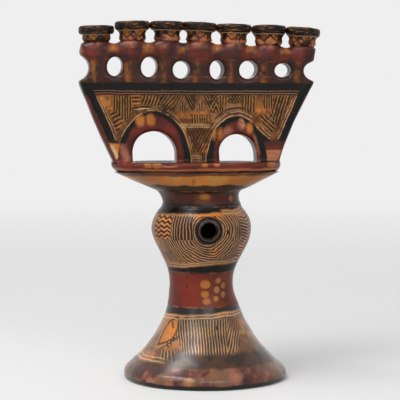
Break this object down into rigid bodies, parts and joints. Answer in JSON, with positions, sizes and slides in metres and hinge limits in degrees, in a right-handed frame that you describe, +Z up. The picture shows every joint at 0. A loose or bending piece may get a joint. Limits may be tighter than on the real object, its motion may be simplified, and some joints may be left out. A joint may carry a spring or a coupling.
{
  "type": "menorah",
  "caption": "Hand-built earthenware menorah: flared hollow foot, bulbous stem with a round vent, oval shelf, arched slab wall, openwork gallery and a straight row of flared candle cups.",
  "frame": {"origin": "on the table under the axis of the stem", "axes": "+Z up, +X along the row of candle cups to the viewer's right, -Y to the front where the vent is"},
  "size_m": [0.2316, 0.1542, 0.3382],
  "materials": {
    "incised_slip": "burnished ochre slip with incised and black painted lines",
    "red_slip": "burnished brown-red slip",
    "ochre_slip": "burnished ochre slip",
    "black_slip": "burnished black slip",
    "dark_rim_slip": "black-rimmed burnished slip"
  },
  "bodies": {
    "root": {"foot": "incised_slip", "stem": "red_slip", "bulb": "incised_slip", "neck_collar": "black_slip", "tray": "ochre_slip", "shelf": "red_slip", "wall_panel": "incised_slip", "pillar_1": "red_slip", "pillar_2": "red_slip", "pillar_3": "red_slip", "pillar_4": "red_slip", "pillar_5": "red_slip", "pillar_6": "red_slip", "pillar_7": "red_slip", "crest": "red_slip", "candle_cup_1": "dark_rim_slip", "candle_cup_2": "dark_rim_slip", "candle_cup_3": "dark_rim_slip", "candle_cup_4": "dark_rim_slip", "candle_cup_5": "dark_rim_slip", "candle_cup_6": "dark_rim_slip", "candle_cup_7": "dark_rim_slip"}
  },
  "joints": []
}
